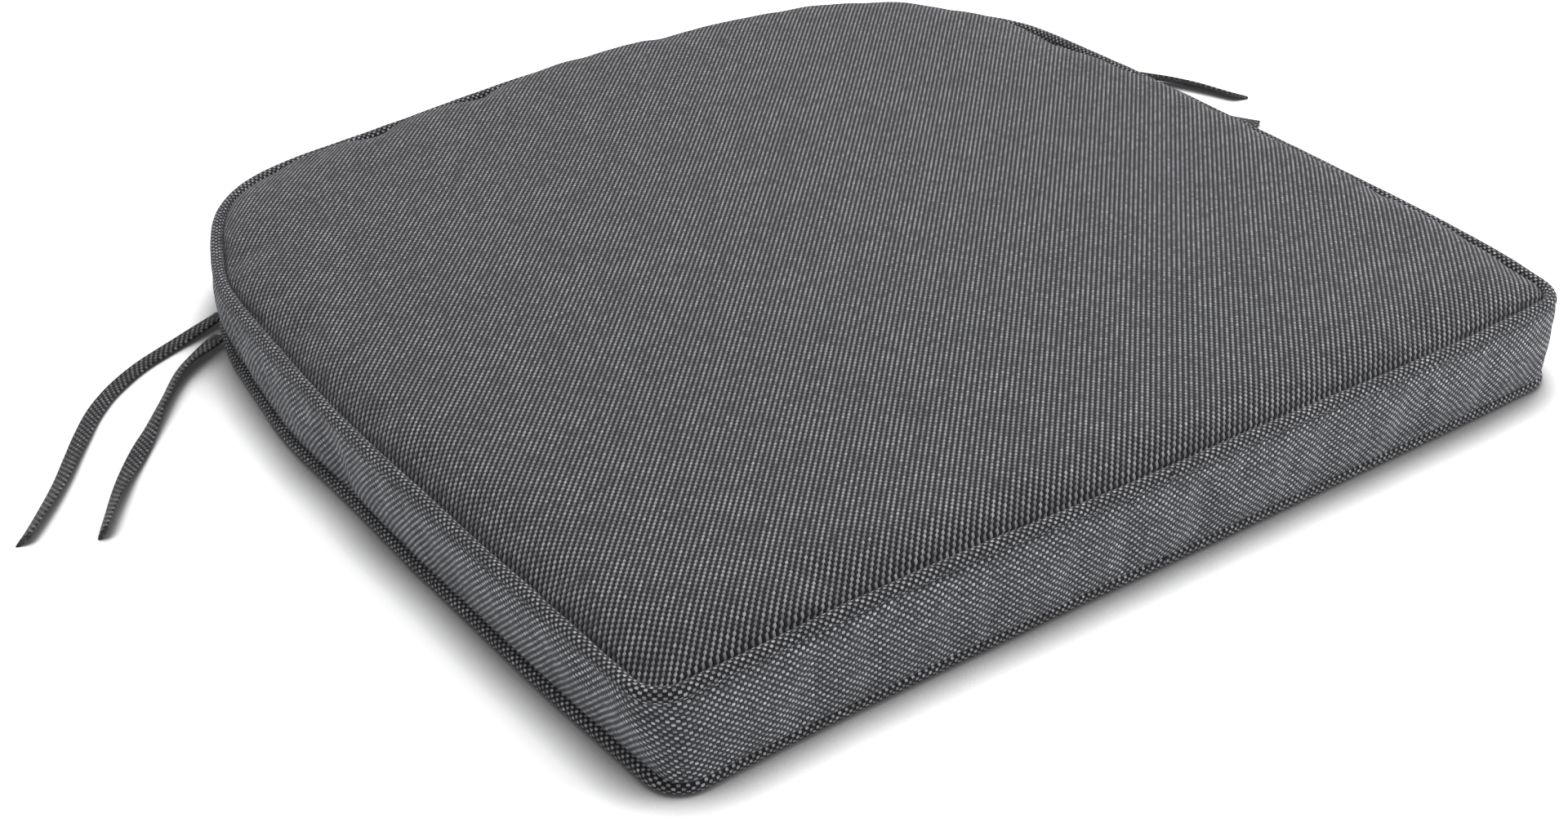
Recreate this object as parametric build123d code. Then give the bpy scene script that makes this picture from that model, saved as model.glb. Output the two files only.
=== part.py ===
from build123d import *

import os
from math import atan2, cos, degrees, pi, radians, sin, sqrt, tan

# Box-edge seat pad for a chair: a wadded foam core in a piped cloth cover, with a zip in the rear wall
# and a pair of ties at each rear corner. The plan is a straight front, slightly bowed sides, large rear
# corners and a gently arched rear.
#
# Millimetres. The origin is the centre of the underside, on the surface that the pad rests on.
# +X is across the pad, +Y towards the rear, +Z up. An inset is a distance inwards, in plan, from the
# centre line of the piping, so a negative inset is outside it.

# Overall size, over the piping
PAD_WIDTH = 480.0
PAD_DEPTH = 477.0
PAD_HEIGHT = 51.0

# Plan of the piping's centre line
SIDE_RADIUS = 3400.0
REAR_RADIUS = 760.0
REAR_CORNER_RADIUS = 112.0
FRONT_CORNER_RADIUS = 14.0

# Piping
PIPING_RADIUS = 3.0
PIPING_CLOTH = 1.0
TOP_PIPING_Z = 42.5

# Cover
CLOTH = 1.0
SEAM_GAP = 0.1
BOXING_INSET = 1.5
PANEL_SKIRT = 6.0
TOP_ROUNDING = 8.0
BOTTOM_ROUNDING = 4.0

# Filling
WADDING = 5.0
FOAM_ROUNDING = 3.0

# Zip, along the middle of the rear wall
ZIP_STRIP_LENGTH = 268.0
ZIP_GAP = 9.0
TAPE_LENGTH = 262.0
TAPE_WIDTH = 11.0
TAPE_THICKNESS = 0.6
TAPE_MIDDLE_GAP = 1.6
COIL_LENGTH = 244.0
COIL_WIDTH = 2.3
COIL_MIDDLE_GAP = 1.2
COIL_OUTER_INSET = 0.6
STOP_LENGTH = 3.0
POCKET_DEPTH = 2.6

# Zip slider and pull
RUNNING_GAP = 0.3
SLIDER_LENGTH = 11.0
SLIDER_HEIGHT = 8.0
SLIDER_PLATE = 1.0
SLIDER_LIP = 0.8
BRIDGE_LENGTH = 5.0
LUG_LENGTH = 2.4
LUG_THICKNESS = 1.0
LUG_GAP = 4.4
PIN_RADIUS = 0.6
PIN_STANDOFF = 1.5
EYE_RADIUS = 1.2
EYE_CLEARANCE = 0.05
PULL_LENGTH = 24.0
PULL_WIDTH = 6.0
PULL_NECK_WIDTH = 3.2
PULL_NECK_LENGTH = 4.0
PULL_THICKNESS = 1.2
PULL_CORNER_RADIUS = 2.0
PULL_HOLE_RADIUS = 1.5
SLIDER_REST_DEG = -8.4

# Ties: flat cloth tapes, held in the bottom seam, lying loose
TIE_WIDTH = 8.0
TIE_Z = 4.2
TIE_ARC_SHARE = 0.45
TIE_ROUTES = {
    "tie_left_rear": [
        (-226.8, 164.8),
        (-238.5, 160.5),
        (-252.5, 155.5),
        (-273.0, 146.5),
        (-296.0, 128.0),
        (-315.0, 101.0),
        (-335.0, 69.5),
        (-357.0, 43.5),
    ],
    "tie_left_front": [
        (-234.5, 145.1),
        (-243.5, 139.8),
        (-255.5, 131.5),
        (-272.0, 110.5),
        (-292.5, 82.5),
        (-313.3, 56.0),
        (-329.2, 28.0),
    ],
    "tie_right_rear": [
        (226.1, 165.0),
        (239.0, 171.0),
        (256.0, 172.0),
        (280.0, 160.0),
        (288.5, 133.0),
        (300.0, 109.5),
        (316.0, 89.0),
        (327.0, 57.5),
    ],
    "tie_right_front": [
        (233.7, 145.5),
        (247.0, 148.3),
        (264.0, 144.5),
        (281.0, 126.0),
        (284.5, 91.0),
        (294.0, 56.0),
        (310.0, 27.0),
    ],
}

# Worked out from the sizes above
HALF_WIDTH = PAD_WIDTH / 2 - PIPING_RADIUS
HALF_DEPTH = PAD_DEPTH / 2 - PIPING_RADIUS
BOTTOM_PIPING_Z = PIPING_RADIUS
BOXING_BOTTOM = BOTTOM_PIPING_Z + PIPING_RADIUS + SEAM_GAP
BOXING_TOP = TOP_PIPING_Z - PIPING_RADIUS - SEAM_GAP
PANEL_INSET = PIPING_RADIUS + SEAM_GAP
WADDING_INSET = BOXING_INSET + CLOTH + TAPE_THICKNESS + 2 * SEAM_GAP
WADDING_SPLIT_Z = (BOXING_BOTTOM + BOXING_TOP) / 2
FOAM_INSET = WADDING_INSET + WADDING
ZIP_Z = WADDING_SPLIT_Z
TAPE_INSET = BOXING_INSET + CLOTH + SEAM_GAP
COIL_INNER_INSET = TAPE_INSET - SEAM_GAP
SLIDER_FACE_INSET = COIL_OUTER_INSET - RUNNING_GAP - SLIDER_PLATE
SLIDER_BACK_INSET = TAPE_INSET + TAPE_THICKNESS + RUNNING_GAP
PIN_INSET = SLIDER_FACE_INSET - PIN_STANDOFF

SIDE_CENTRE = Vector(HALF_WIDTH - SIDE_RADIUS, 0)
REAR_CENTRE = Vector(0, HALF_DEPTH - REAR_RADIUS)


def bearing(centre, point):
    """Direction from centre to point in plan, in degrees from +X."""
    return degrees(atan2(point.Y - centre.Y, point.X - centre.X))


def front_corner_centre():
    """Centre of the right front corner, which touches the front line and the side arc."""
    y = FRONT_CORNER_RADIUS - HALF_DEPTH
    reach = SIDE_RADIUS - FRONT_CORNER_RADIUS
    return Vector(SIDE_CENTRE.X + sqrt(reach**2 - y**2), y)


def rear_corner_centre():
    """Centre of the right rear corner, which touches the side arc and the rear arc from inside."""
    from_side = SIDE_RADIUS - REAR_CORNER_RADIUS
    from_rear = REAR_RADIUS - REAR_CORNER_RADIUS
    apart = REAR_CENTRE - SIDE_CENTRE
    along = (from_side**2 - from_rear**2 + apart.length**2) / (2 * apart.length)
    across = sqrt(from_side**2 - along**2)
    unit = apart.normalized()
    return SIDE_CENTRE + unit * along + Vector(-unit.Y, unit.X) * across


FRONT_CORNER = front_corner_centre()
REAR_CORNER = rear_corner_centre()


def outline(inset):
    """The pad's plan as a closed wire at z = 0, moved inwards by inset."""
    side_start = bearing(SIDE_CENTRE, FRONT_CORNER)
    side_end = bearing(SIDE_CENTRE, REAR_CORNER)
    rear_start = bearing(REAR_CENTRE, REAR_CORNER)
    front_y = inset - HALF_DEPTH
    right = [
        Line((0, front_y), (FRONT_CORNER.X, front_y)),
        CenterArc(FRONT_CORNER, FRONT_CORNER_RADIUS - inset, -90, 90 + side_start),
        CenterArc(SIDE_CENTRE, SIDE_RADIUS - inset, side_start, side_end - side_start),
        CenterArc(REAR_CORNER, REAR_CORNER_RADIUS - inset, side_end, rear_start - side_end),
        CenterArc(REAR_CENTRE, REAR_RADIUS - inset, rear_start, 90 - rear_start),
    ]
    left = [edge.mirror(Plane.YZ) for edge in right]
    return Wire(right + left)


def slab(inset, bottom, top, top_rounding=0.0, bottom_rounding=0.0):
    """The plan, inset, as a solid from bottom to top, with its edges rounded."""
    solid = Pos(0, 0, bottom) * extrude(Face(outline(inset)), top - bottom)
    if top_rounding:
        solid = fillet(solid.edges().group_by(Axis.Z)[-1], top_rounding)
    if bottom_rounding:
        solid = fillet(solid.edges().group_by(Axis.Z)[0], bottom_rounding)
    return solid


def wall(outer, inner, bottom, top):
    """A closed wall round the plan, between two insets."""
    return slab(outer, bottom, top) - slab(inner, bottom - CLOTH, top + CLOTH)


def rear_window(length):
    """A block that takes in the middle of the rear wall, over the given length."""
    taller = PAD_HEIGHT + CLOTH
    return Pos(0, HALF_DEPTH, PAD_HEIGHT / 2) * Box(length, REAR_CORNER_RADIUS, taller)


def rear_strip(outer, inner, bottom, top, length):
    """A curved strip that follows the middle of the rear wall."""
    return wall(outer, inner, bottom, top) & rear_window(length)


def rear_block(length, outer, inner, bottom, top, x=0.0):
    """A straight block on the rear wall at its middle, between two insets."""
    y = HALF_DEPTH - (outer + inner) / 2
    return Pos(x, y, (bottom + top) / 2) * Box(length, inner - outer, top - bottom)


def tube(path, radius):
    """A round bar along a path."""
    return sweep(Plane(path @ 0, z_dir=path % 0) * Circle(radius), path=path)


def piping(z):
    """The cloth cover and the filler cord of one piped edge."""
    path = Pos(0, 0, z) * outline(0)
    filler_radius = PIPING_RADIUS - PIPING_CLOTH
    cover = tube(path, PIPING_RADIUS) - tube(path, filler_radius)
    return cover, tube(path, filler_radius - SEAM_GAP)


def panels():
    """Top and bottom panels: shallow cloth trays whose skirts are the seam allowances."""
    skirt_bottom = TOP_PIPING_Z - PANEL_SKIRT / 2
    top = slab(PANEL_INSET, skirt_bottom, PAD_HEIGHT, top_rounding=TOP_ROUNDING)
    top -= slab(
        PANEL_INSET + CLOTH,
        skirt_bottom - CLOTH,
        PAD_HEIGHT - CLOTH,
        top_rounding=TOP_ROUNDING - CLOTH,
    )
    bottom = slab(PANEL_INSET, 0, PANEL_SKIRT, bottom_rounding=BOTTOM_ROUNDING)
    bottom -= slab(
        PANEL_INSET + CLOTH,
        CLOTH,
        PANEL_SKIRT + CLOTH,
        bottom_rounding=BOTTOM_ROUNDING - CLOTH,
    )
    return top, bottom


def boxing():
    """The strip round the front and sides, and the two strips that hold the zip at the rear."""
    whole = wall(BOXING_INSET, BOXING_INSET + CLOTH, BOXING_BOTTOM, BOXING_TOP)
    strip = whole - rear_window(ZIP_STRIP_LENGTH)
    zip_length = ZIP_STRIP_LENGTH - 2 * SEAM_GAP
    edges = (BOXING_INSET, BOXING_INSET + CLOTH)
    upper = rear_strip(*edges, ZIP_Z + ZIP_GAP / 2, BOXING_TOP, zip_length)
    lower = rear_strip(*edges, BOXING_BOTTOM, ZIP_Z - ZIP_GAP / 2, zip_length)
    return strip, upper, lower


def filling():
    """The foam core and the two halves of wadding round it, with room behind the zip."""
    bottom = CLOTH + SEAM_GAP
    top = PAD_HEIGHT - CLOTH - SEAM_GAP
    inner_inset = PANEL_INSET + CLOTH + SEAM_GAP
    foam_bottom = bottom + WADDING
    foam_top = top - WADDING
    core = slab(FOAM_INSET, foam_bottom, foam_top, FOAM_ROUNDING, FOAM_ROUNDING)
    room = slab(
        FOAM_INSET - SEAM_GAP,
        foam_bottom - SEAM_GAP,
        foam_top + SEAM_GAP,
        FOAM_ROUNDING,
        FOAM_ROUNDING,
    )
    envelope = slab(inner_inset, bottom, top, TOP_ROUNDING - CLOTH, BOTTOM_ROUNDING - CLOTH)
    pocket_inset = SLIDER_BACK_INSET + SLIDER_PLATE + POCKET_DEPTH
    pocket_reach = TAPE_WIDTH + TAPE_MIDDLE_GAP
    pocket = rear_strip(0, pocket_inset, ZIP_Z - pocket_reach, ZIP_Z + pocket_reach, ZIP_STRIP_LENGTH)
    wadding = envelope - room - pocket
    upper = wadding & slab(0, WADDING_SPLIT_Z + SEAM_GAP / 2, PAD_HEIGHT)
    lower = wadding & slab(0, 0, WADDING_SPLIT_Z - SEAM_GAP / 2)
    return core, upper, lower


def zip_half(side):
    """Tape and coil of one half of the zip: side is 1 above the zip's line and -1 below it."""
    tape_span = sorted((ZIP_Z + side * TAPE_MIDDLE_GAP / 2, ZIP_Z + side * TAPE_WIDTH))
    coil_inner = COIL_MIDDLE_GAP / 2
    coil_span = sorted((ZIP_Z + side * coil_inner, ZIP_Z + side * (coil_inner + COIL_WIDTH)))
    tape = rear_strip(TAPE_INSET, TAPE_INSET + TAPE_THICKNESS, *tape_span, TAPE_LENGTH)
    coil = rear_strip(COIL_OUTER_INSET, COIL_INNER_INSET, *coil_span, COIL_LENGTH)
    return tape, coil


def swing(shape, angle):
    """Move a shape along the rear arc by an angle about the arc's centre."""
    return shape.rotate(Axis(REAR_CENTRE, (0, 0, 1)), angle)


def zip_stop(side):
    """The crimp at one end of the coils: side is 1 at the closed end and -1 at the open end."""
    half_height = COIL_MIDDLE_GAP / 2 + COIL_WIDTH
    block = rear_block(
        STOP_LENGTH,
        COIL_OUTER_INSET,
        COIL_INNER_INSET,
        ZIP_Z - half_height,
        ZIP_Z + half_height,
    )
    reach = COIL_LENGTH / 2 + STOP_LENGTH
    return swing(block, -side * degrees(reach / REAR_RADIUS))


def slider():
    """The zip slider at the middle of the rear: two plates, a thin bridge between the coils, side lips
    that hold the coils, and two lugs with the pull's pin."""
    half = SLIDER_HEIGHT / 2
    face_back = SLIDER_FACE_INSET + SLIDER_PLATE
    lip_end = TAPE_INSET - RUNNING_GAP
    low, high = ZIP_Z - half, ZIP_Z + half
    body = rear_block(SLIDER_LENGTH, SLIDER_FACE_INSET, face_back, low, high)
    back_inner = SLIDER_BACK_INSET + SLIDER_PLATE
    body += rear_block(SLIDER_LENGTH, SLIDER_BACK_INSET, back_inner, low, high)
    for plate_edge in (low, high - SLIDER_LIP):
        body += rear_block(SLIDER_LENGTH, face_back, lip_end, plate_edge, plate_edge + SLIDER_LIP)
    bridge_half = COIL_MIDDLE_GAP / 2 - RUNNING_GAP
    body += rear_block(
        BRIDGE_LENGTH,
        face_back,
        SLIDER_BACK_INSET,
        ZIP_Z - bridge_half,
        ZIP_Z + bridge_half,
    )
    lug_face = PIN_INSET - PIN_RADIUS
    for side in (1, -1):
        lug_span = sorted((ZIP_Z + side * LUG_GAP / 2, ZIP_Z + side * (LUG_GAP / 2 + LUG_THICKNESS)))
        body += rear_block(LUG_LENGTH, lug_face, SLIDER_FACE_INSET, *lug_span)
    pin_height = LUG_GAP + LUG_THICKNESS
    body += Pos(0, HALF_DEPTH - PIN_INSET, ZIP_Z) * Cylinder(PIN_RADIUS, pin_height)
    return body


def pull():
    """The zip pull at the middle of the rear, lying along the zip towards -X from its pin."""
    eye_height = LUG_GAP - 2 * RUNNING_GAP
    outer, inner = PIN_INSET - PULL_THICKNESS / 2, PIN_INSET + PULL_THICKNESS / 2
    neck_half = PULL_NECK_WIDTH / 2
    plate_length = PULL_LENGTH - PULL_NECK_LENGTH
    pin = Pos(0, HALF_DEPTH - PIN_INSET, ZIP_Z)
    body = pin * Cylinder(EYE_RADIUS, eye_height)
    neck_x = -(PULL_NECK_LENGTH + EYE_RADIUS) / 2
    body += rear_block(PULL_NECK_LENGTH, outer, inner, ZIP_Z - neck_half, ZIP_Z + neck_half, neck_x)
    plate_x = -PULL_NECK_LENGTH - plate_length / 2
    plate_half = PULL_WIDTH / 2
    plate = rear_block(plate_length, outer, inner, ZIP_Z - plate_half, ZIP_Z + plate_half, plate_x)
    body += fillet(plate.edges().filter_by(Axis.Y), PULL_CORNER_RADIUS)
    hole_x = -PULL_LENGTH + PULL_WIDTH / 2
    hole = Pos(hole_x, HALF_DEPTH - PIN_INSET, ZIP_Z) * Rot(90, 0, 0) * Cylinder(PULL_HOLE_RADIUS, PULL_WIDTH)
    return body - hole - pin * Cylinder(PIN_RADIUS + EYE_CLEARANCE, 2 * eye_height)


def tie_radii(points):
    """Arc radius at each inner point of a route, as large as its two runs allow."""
    radii = []
    for before, here, after in zip(points, points[1:], points[2:]):
        arriving, leaving = here - before, after - here
        half_turn = radians(arriving.get_angle(leaving)) / 2
        shorter = min(arriving.length, leaving.length)
        radii.append(TIE_ARC_SHARE * shorter / tan(half_turn))
    return radii


def tie(name, route):
    """One tie as a plain tube, straight runs joined by tangent arcs."""
    points = [Vector(x, y, TIE_Z) for x, y in route]
    radii = tie_radii(points)
    path = FilletPolyline(*points, radius=radii)
    solid = tube(path, TIE_WIDTH / 2)
    expected = pi * (TIE_WIDTH / 2) ** 2 * path.length
    print(name, "length", round(path.length, 1), "volume share", round(solid.volume / expected, 4))
    print(name, "radii", [round(radius, 1) for radius in radii])
    return solid


def build():
    """Every node of the pad by name."""
    nodes = {}
    nodes["top_panel"], nodes["bottom_panel"] = panels()
    nodes["boxing_strip"], nodes["zip_strip_upper"], nodes["zip_strip_lower"] = boxing()
    nodes["top_piping_cover"], nodes["top_piping_filler"] = piping(TOP_PIPING_Z)
    nodes["bottom_piping_cover"], nodes["bottom_piping_filler"] = piping(BOTTOM_PIPING_Z)
    nodes["foam_core"], nodes["wadding_upper"], nodes["wadding_lower"] = filling()
    nodes["zip_tape_upper"], nodes["zip_coil_upper"] = zip_half(1)
    nodes["zip_tape_lower"], nodes["zip_coil_lower"] = zip_half(-1)
    nodes["zip_stop_closed_end"] = zip_stop(1)
    nodes["zip_stop_open_end"] = zip_stop(-1)
    nodes["zip_slider"] = swing(slider(), SLIDER_REST_DEG)
    nodes["zip_pull"] = swing(pull(), SLIDER_REST_DEG)
    for name, route in TIE_ROUTES.items():
        nodes[name] = tie(name, route)
    return nodes


os.makedirs("parts", exist_ok=True)
for node, shape in build().items():
    export_step(shape, f"parts/{node}.step")

# Where the joints of the zip are
pin_bearing = radians(90 + SLIDER_REST_DEG)
pin_reach = REAR_RADIUS - PIN_INSET
print("zip arc centre", REAR_CENTRE.X, REAR_CENTRE.Y, ZIP_Z)
pin_x = REAR_CENTRE.X + pin_reach * cos(pin_bearing)
pin_y = REAR_CENTRE.Y + pin_reach * sin(pin_bearing)
print("pull pin", pin_x, pin_y, ZIP_Z)
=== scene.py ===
import math

import bmesh
import bpy
import numpy as np
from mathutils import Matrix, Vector, geometry, kdtree, noise


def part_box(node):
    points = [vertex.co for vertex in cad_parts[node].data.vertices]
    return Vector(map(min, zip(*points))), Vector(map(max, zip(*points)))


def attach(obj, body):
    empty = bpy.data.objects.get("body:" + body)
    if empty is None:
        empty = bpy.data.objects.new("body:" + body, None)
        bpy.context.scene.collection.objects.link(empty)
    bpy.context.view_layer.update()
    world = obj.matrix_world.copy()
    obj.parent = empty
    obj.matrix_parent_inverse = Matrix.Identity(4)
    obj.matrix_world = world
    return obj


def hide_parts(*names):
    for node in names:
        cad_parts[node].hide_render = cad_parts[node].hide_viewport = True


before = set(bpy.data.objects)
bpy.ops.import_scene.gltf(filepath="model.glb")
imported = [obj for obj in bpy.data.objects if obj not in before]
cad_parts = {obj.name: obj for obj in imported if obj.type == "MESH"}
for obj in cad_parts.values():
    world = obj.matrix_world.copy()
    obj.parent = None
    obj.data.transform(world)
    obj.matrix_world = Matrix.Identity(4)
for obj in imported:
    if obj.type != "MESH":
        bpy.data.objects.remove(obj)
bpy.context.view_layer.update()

# Everything is in metres, in the frame of the CAD model: +X across the pad, +Y to the rear, +Z up.
# An inset is a distance inwards in plan from the piping's centre line; a negative one is outside it.

BODY = "pad"

# ---- sizes taken from the CAD model
TOP_PIPING_LOW, TOP_PIPING_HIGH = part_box("top_piping_cover")
BOTTOM_PIPING_LOW, BOTTOM_PIPING_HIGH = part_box("bottom_piping_cover")
PIPING_RADIUS = (TOP_PIPING_HIGH.z - TOP_PIPING_LOW.z) / 2
TOP_PIPING_Z = (TOP_PIPING_HIGH.z + TOP_PIPING_LOW.z) / 2
BOTTOM_PIPING_Z = (BOTTOM_PIPING_HIGH.z + BOTTOM_PIPING_LOW.z) / 2
HALF_WIDTH = (TOP_PIPING_HIGH.x - TOP_PIPING_LOW.x) / 2 - PIPING_RADIUS
HALF_DEPTH = (TOP_PIPING_HIGH.y - TOP_PIPING_LOW.y) / 2 - PIPING_RADIUS
PAD_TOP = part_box("top_panel")[1].z
ZIP_Z = (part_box("zip_tape_upper")[1].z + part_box("zip_tape_lower")[0].z) / 2
ZIP_STRIP_HALF = (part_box("zip_strip_upper")[1].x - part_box("zip_strip_upper")[0].x) / 2
COIL_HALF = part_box("zip_coil_upper")[1].x

# ---- plan of the piping's centre line
SIDE_RADIUS = 3.4
REAR_RADIUS = 0.76
REAR_CORNER_RADIUS = 0.112
FRONT_CORNER_RADIUS = 0.014
ROUND_COUNT = 760

# Where the sewn edges leave the pattern, as sewn cloth does: x, y, reach, then the move along X, Y and Z
TOP_WANDER = [
    (-0.120, -0.236, 0.070, 0.0, 0.0026, 0.0010),
    (0.150, -0.236, 0.060, 0.0, -0.0016, -0.0006),
    (0.236, -0.232, 0.026, -0.0024, 0.0020, -0.0006),
    (-0.238, -0.010, 0.070, -0.0022, 0.0, 0.0),
    (-0.240, 0.095, 0.030, -0.0004, 0.0, 0.0),
    (-0.228, 0.150, 0.034, 0.0034, -0.0022, -0.0004),
    (-0.190, 0.200, 0.030, -0.0014, 0.0012, 0.0004),
    (-0.110, 0.226, 0.045, 0.0, -0.0014, -0.0014),
    (-0.060, 0.233, 0.035, 0.0, 0.0, -0.0008),
    (0.238, 0.020, 0.110, 0.0, 0.0, -0.0002),
    (0.238, -0.140, 0.070, 0.0006, 0.0, 0.0004),
    (0.195, 0.190, 0.060, -0.0036, -0.0034, -0.0030),
]
BOTTOM_WANDER = [
    (-0.240, -0.238, 0.060, 0.0034, -0.0026, 0.0),
    (0.236, -0.236, 0.045, -0.0022, 0.0010, 0.0),
    (-0.240, 0.045, 0.035, -0.0024, 0.0, 0.0),
    (-0.236, 0.130, 0.035, 0.0026, -0.0012, 0.0),
    (-0.238, -0.130, 0.060, 0.0014, 0.0, 0.0),
]
# Stretches of the seam, counter-clockwise, where the foam pushes the panel up hard against the piping
STEEP_SPANS = [((0.238, -0.185), (0.237, 0.035)), ((0.212, 0.180), (-0.014, 0.2355))]
STEEP_FADE = 0.022

# ---- camera
CAMERA_AZIMUTH = -33.433
CAMERA_ELEVATION = 32.641
CAMERA_ROLL = -1.693
CAMERA_DISTANCE = 0.9134
CAMERA_TARGET = Vector((-0.0791, -0.0928, 0.025))
FOCAL_PIXELS = 2718.8
FRAME_PIXELS = 1920
SENSOR = 36.0

# ---- ties: control points of each route
TIE_WIDTH = 0.008
TIE_THICKNESS = 0.0019
TIE_TUCK = 0.0048
TIE_TIP = 0.012
FLOOR_CLEARANCE = 0.0002
TIES = {
    "tie_left_rear": {
        "points": [
            (-0.2268, 0.1648, 0.0034),
            (-0.2385, 0.1605, 0.0024),
            (-0.2525, 0.1555, 0.0014),
            (-0.2730, 0.1465, 0.0012),
            (-0.2960, 0.1280, 0.0012),
            (-0.3150, 0.1010, 0.0012),
            (-0.3350, 0.0695, 0.0016),
            (-0.3570, 0.0435, 0.0022),
        ],
        "twist": [(0.0, 10), (0.1, 0), (0.5, 0), (0.64, 14), (0.8, 26), (0.92, 38), (1.0, 44)],
        "cut": -0.4,
    },
    "tie_left_front": {
        "points": [
            (-0.2345, 0.1451, 0.0036),
            (-0.2435, 0.1398, 0.0036),
            (-0.2555, 0.1315, 0.0036),
            (-0.2720, 0.1105, 0.0030),
            (-0.2925, 0.0825, 0.0014),
            (-0.3133, 0.0560, 0.0024),
            (-0.3292, 0.0280, 0.0032),
        ],
        "twist": [(0.0, 0), (0.12, 30), (0.3, 48), (0.45, 34), (0.58, -8), (0.7, 14), (0.85, 42), (1.0, 58)],
        "cut": 0.0,
    },
    "tie_right_rear": {
        "points": [
            (0.2261, 0.1650, 0.0034),
            (0.2390, 0.1710, 0.0030),
            (0.2560, 0.1720, 0.0030),
            (0.2800, 0.1600, 0.0036),
            (0.2885, 0.1330, 0.0040),
            (0.3000, 0.1095, 0.0040),
            (0.3160, 0.0890, 0.0030),
            (0.3270, 0.0575, 0.0024),
        ],
        "twist": [(0.0, 10), (0.4, -30), (0.6, -42), (0.85, -40), (1.0, -22)],
        "cut": 0.7,
    },
    "tie_right_front": {
        "points": [
            (0.2337, 0.1455, 0.0034),
            (0.2470, 0.1483, 0.0024),
            (0.2640, 0.1445, 0.0014),
            (0.2810, 0.1260, 0.0014),
            (0.2845, 0.0910, 0.0014),
            (0.2940, 0.0560, 0.0014),
            (0.3100, 0.0270, 0.0014),
        ],
        "twist": [(0.0, 10), (0.5, -20), (1.0, 6)],
        "cut": 0.0,
    },
}
TIE_RING = 16
CORD_RESOLUTION = 24

# ---- cover
SEAM_TUCK = 0.0010
SEAM_INSET = 0.0026
SEAM_DEPTH = 0.0030
CLOTH_THICKNESS = 0.0009
ZIP_HALVES = (("upper", 1), ("lower", -1))
ZIP_FOLD_HALF = 0.0045
ZIP_CLOSED_HALF = 0.0001
ZIP_CLOSING = (0.0046, 0.0072)
PANEL_GRID = 0.0062
PANEL_LOOPS = (SEAM_TUCK, SEAM_INSET, 0.0032, 0.0038, 0.0050, 0.0074, 0.0110)
PANEL_LOOP_COUNT = 330
CROWN = 0.0006
SWELL_REACH = 0.0070
STEEP_SWELL_REACH = 0.0030
HUG_REACH = 0.0009
HUG_SHARE = 0.52
STEEP_HUG_SHARE = 0.18
GATHER_DEPTH = 0.006
GATHER_WIDTH = 0.008
FALL_WIDTH = 0.010
BOXING_ROWS = 14
BOXING_COUNT = 400


# ==== outline
def circle_point(centre, radius, angle):
    return centre + radius * np.stack([np.cos(angle), np.sin(angle)], axis=-1)


def outline_arcs():
    """The right half of the outline as (centre, radius, start, end), from the front corner to the apex."""
    side = np.array([HALF_WIDTH - SIDE_RADIUS, 0.0])
    rear = np.array([0.0, HALF_DEPTH - REAR_RADIUS])
    front_y = FRONT_CORNER_RADIUS - HALF_DEPTH
    front_reach = SIDE_RADIUS - FRONT_CORNER_RADIUS
    front = np.array([side[0] + math.sqrt(front_reach**2 - front_y**2), front_y])
    from_side = SIDE_RADIUS - REAR_CORNER_RADIUS
    from_rear = REAR_RADIUS - REAR_CORNER_RADIUS
    apart = rear - side
    length = np.linalg.norm(apart)
    along = (from_side**2 - from_rear**2 + length**2) / (2 * length)
    across = math.sqrt(from_side**2 - along**2)
    unit = apart / length
    corner = side + unit * along + np.array([-unit[1], unit[0]]) * across
    side_start = math.atan2(front[1] - side[1], front[0] - side[0])
    side_end = math.atan2(corner[1] - side[1], corner[0] - side[0])
    rear_start = math.atan2(corner[1] - rear[1], corner[0] - rear[0])
    return front[0], [
        (front, FRONT_CORNER_RADIUS, -math.pi / 2, side_start),
        (side, SIDE_RADIUS, side_start, side_end),
        (corner, REAR_CORNER_RADIUS, side_end, rear_start),
        (rear, REAR_RADIUS, rear_start, math.pi / 2),
    ]


def dense_outline():
    """Positions, outward normals and distances along the outline, densely, from the front's middle by +X."""
    step = 0.0004
    front_end, arcs = outline_arcs()
    xs = np.arange(0.0, front_end, step)
    points = [np.stack([xs, np.full(len(xs), -HALF_DEPTH)], axis=1)]
    normals = [np.tile([0.0, -1.0], (len(xs), 1))]
    for centre, radius, start, end in arcs:
        angles = np.linspace(start, end, max(8, int(radius * (end - start) / step)), endpoint=False)
        points.append(circle_point(centre, radius, angles))
        normals.append(circle_point(np.zeros(2), 1.0, angles))
    points.append(np.array([[0.0, HALF_DEPTH]]))
    normals.append(np.array([[0.0, 1.0]]))
    right, right_normals = np.concatenate(points), np.concatenate(normals)
    flip = np.array([-1.0, 1.0])
    points = np.concatenate([right, (right * flip)[-2:0:-1]])
    normals = np.concatenate([right_normals, (right_normals * flip)[-2:0:-1]])
    steps = np.linalg.norm(np.roll(points, -1, axis=0) - points, axis=1)
    along = np.concatenate([[0.0], np.cumsum(steps)[:-1]])
    return points, normals, along, steps.sum()


DENSE, DENSE_NORMALS, DENSE_ALONG, PERIMETER = dense_outline()
DENSE_TREE = kdtree.KDTree(len(DENSE))
for index, (x, y) in enumerate(DENSE):
    DENSE_TREE.insert((x, y, 0.0), index)
DENSE_TREE.balance()


def outline(count):
    """count points evenly along the outline: positions, outward normals and distances along it."""
    along = np.arange(count) * PERIMETER / count
    picked = np.searchsorted(DENSE_ALONG, along, side="right") - 1
    return DENSE[picked], DENSE_NORMALS[picked], DENSE_ALONG[picked]


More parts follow.
